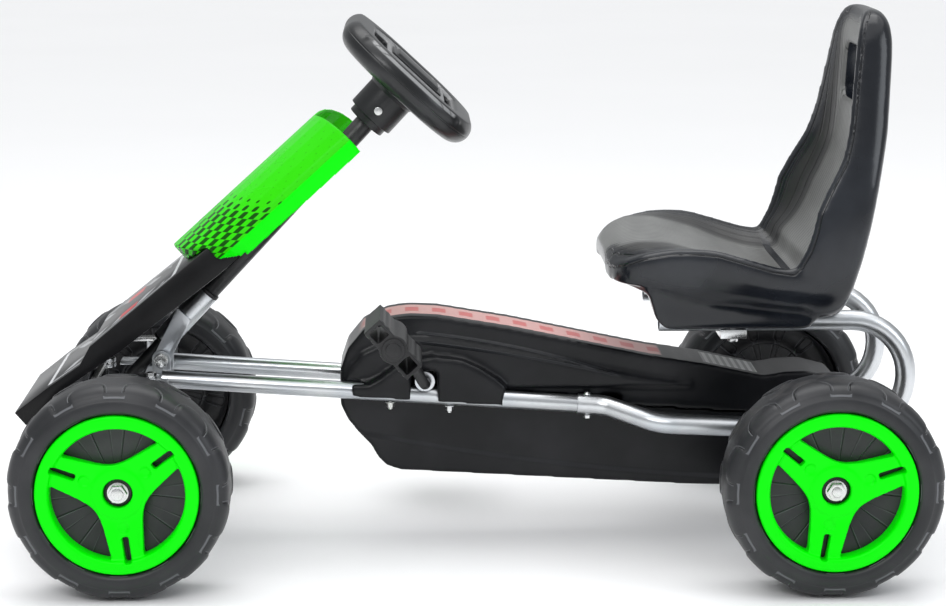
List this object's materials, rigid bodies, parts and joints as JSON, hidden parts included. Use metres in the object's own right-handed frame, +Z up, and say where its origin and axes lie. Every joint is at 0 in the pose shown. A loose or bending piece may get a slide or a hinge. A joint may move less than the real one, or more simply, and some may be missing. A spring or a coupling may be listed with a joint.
{
  "type": "pedal go kart",
  "caption": "Child's pedal go kart with a bent tube frame, chain drive, steered spoked wheels, nose fairing and moulded bucket seat.",
  "frame": {"origin": "on the ground at the middle of the length and width", "axes": "+X to the rear, +Y to the driver's right, +Z up"},
  "size_m": [0.976, 0.534, 0.592],
  "materials": {
    "zinc_tube": "satin zinc plating",
    "zinc_steel": "bright zinc plating",
    "chain_steel": "oiled dark steel",
    "tyre": "satin blow-moulded plastic",
    "green_plastic": "gloss",
    "black_cover": "satin gloss",
    "black_steel": "satin powder coat",
    "steering_plastic": "satin",
    "dark_plastic": "matt",
    "seat_plastic": "satin gloss"
  },
  "bodies": {
    "frame": {"rail_left": "zinc_tube", "rail_right": "zinc_tube", "loop_left": "zinc_tube", "loop_right": "zinc_tube", "seat_crossbar": "zinc_tube", "front_beam": "zinc_tube", "head_tube": "zinc_tube", "head_bushes": "dark_plastic", "head_bolt": "zinc_steel", "frame_bolts": "zinc_steel", "crank_bearings": "zinc_tube", "rear_bearings": "dark_plastic", "case_upper": "black_cover", "case_lower": "black_cover", "case_bolts": "zinc_steel", "chain": "chain_steel", "nose_fairing": "black_cover", "column_cover": "green_plastic"},
    "steering": {"column_tube": "black_steel", "column_rod": "black_steel", "steering_hub": "steering_plastic", "steering_wheel": "steering_plastic", "wheel_pad": "steering_plastic", "hub_screw": "zinc_steel"},
    "knuckle_left": {"knuckle_left": "zinc_steel", "front_nut_left": "zinc_steel"},
    "knuckle_right": {"knuckle_right": "zinc_steel", "front_nut_right": "zinc_steel"},
    "tie_left": {"tie_rod_left": "zinc_steel"},
    "tie_right": {"tie_rod_right": "zinc_steel"},
    "front_wheel_left": {"front_left_tyre": "tyre", "front_left_insert": "green_plastic", "front_left_bushes": "dark_plastic"},
    "front_wheel_right": {"front_right_tyre": "tyre", "front_right_insert": "green_plastic", "front_right_bushes": "dark_plastic"},
    "rear_axle": {"rear_axle": "zinc_steel", "rear_left_tyre": "tyre", "rear_left_insert": "green_plastic", "rear_right_tyre": "tyre", "rear_right_insert": "green_plastic", "rear_hubs": "dark_plastic", "rear_nuts": "zinc_steel", "rear_sprocket": "chain_steel"},
    "crank": {"crank_rod": "black_steel", "crank_sprocket": "chain_steel"},
    "pedal_left": {"pedal_left": "dark_plastic", "pedal_cap_left": "dark_plastic"},
    "pedal_right": {"pedal_right": "dark_plastic", "pedal_cap_right": "dark_plastic"},
    "seat": {"seat_shell": "seat_plastic", "seat_clamps": "zinc_steel", "seat_bolts": "zinc_steel"}
  },
  "joints": [
    {"name": "steering_turn", "type": "hinge", "parent": "frame", "child": "steering", "pos_m": [-0.2856, 0, 0.2756], "axis": [0.6807, 0, 0.7325], "range_deg": [-30, 30]},
    {"name": "knuckle_left_turn", "type": "hinge", "parent": "frame", "child": "knuckle_left", "pos_m": [-0.361, -0.15, 0.165], "axis": [0, 0, 1], "range_deg": [-23.5, 23.5]},
    {"name": "knuckle_right_turn", "type": "hinge", "parent": "frame", "child": "knuckle_right", "pos_m": [-0.361, 0.15, 0.165], "axis": [0, 0, 1], "range_deg": [-23.5, 23.5]},
    {"name": "tie_left_turn", "type": "hinge", "parent": "knuckle_left", "child": "tie_left", "pos_m": [-0.401, -0.15, 0.1979], "axis": [0, 0, 1], "range_deg": [-23.5, 23.5]},
    {"name": "tie_right_turn", "type": "hinge", "parent": "knuckle_right", "child": "tie_right", "pos_m": [-0.401, 0.15, 0.1979], "axis": [0, 0, 1], "range_deg": [-23.5, 23.5]},
    {"name": "front_left_spin", "type": "hinge", "parent": "knuckle_left", "child": "front_wheel_left", "pos_m": [-0.361, -0.219, 0.115], "axis": [0, 1, 0], "continuous": true},
    {"name": "front_right_spin", "type": "hinge", "parent": "knuckle_right", "child": "front_wheel_right", "pos_m": [-0.361, 0.219, 0.115], "axis": [0, 1, 0], "continuous": true},
    {"name": "rear_axle_spin", "type": "hinge", "parent": "frame", "child": "rear_axle", "pos_m": [0.373, 0, 0.115], "axis": [0, 1, 0], "continuous": true},
    {"name": "crank_spin", "type": "hinge", "parent": "frame", "child": "crank", "pos_m": [-0.046, 0, 0.1855], "axis": [0, 1, 0], "continuous": true},
    {"name": "pedal_left_spin", "type": "hinge", "parent": "crank", "child": "pedal_left", "pos_m": [-0.07991, -0.161, 0.25352], "axis": [0, 1, 0], "continuous": true},
    {"name": "pedal_right_spin", "type": "hinge", "parent": "crank", "child": "pedal_right", "pos_m": [-0.01209, 0.161, 0.11748], "axis": [0, 1, 0], "continuous": true},
    {"name": "seat_slide", "type": "slide", "parent": "frame", "child": "seat", "axis": [1, 0, 0], "range_m": [-0.03, 0.02]}
  ],
  "couplings": [
    {"joint": "knuckle_left_turn", "follows": "steering_turn", "ratio": 0.775},
    {"joint": "knuckle_right_turn", "follows": "steering_turn", "ratio": 0.775},
    {"joint": "tie_left_turn", "follows": "steering_turn", "ratio": -0.775},
    {"joint": "tie_right_turn", "follows": "steering_turn", "ratio": -0.775},
    {"joint": "crank_spin", "follows": "rear_axle_spin", "ratio": 0.61538}
  ]
}
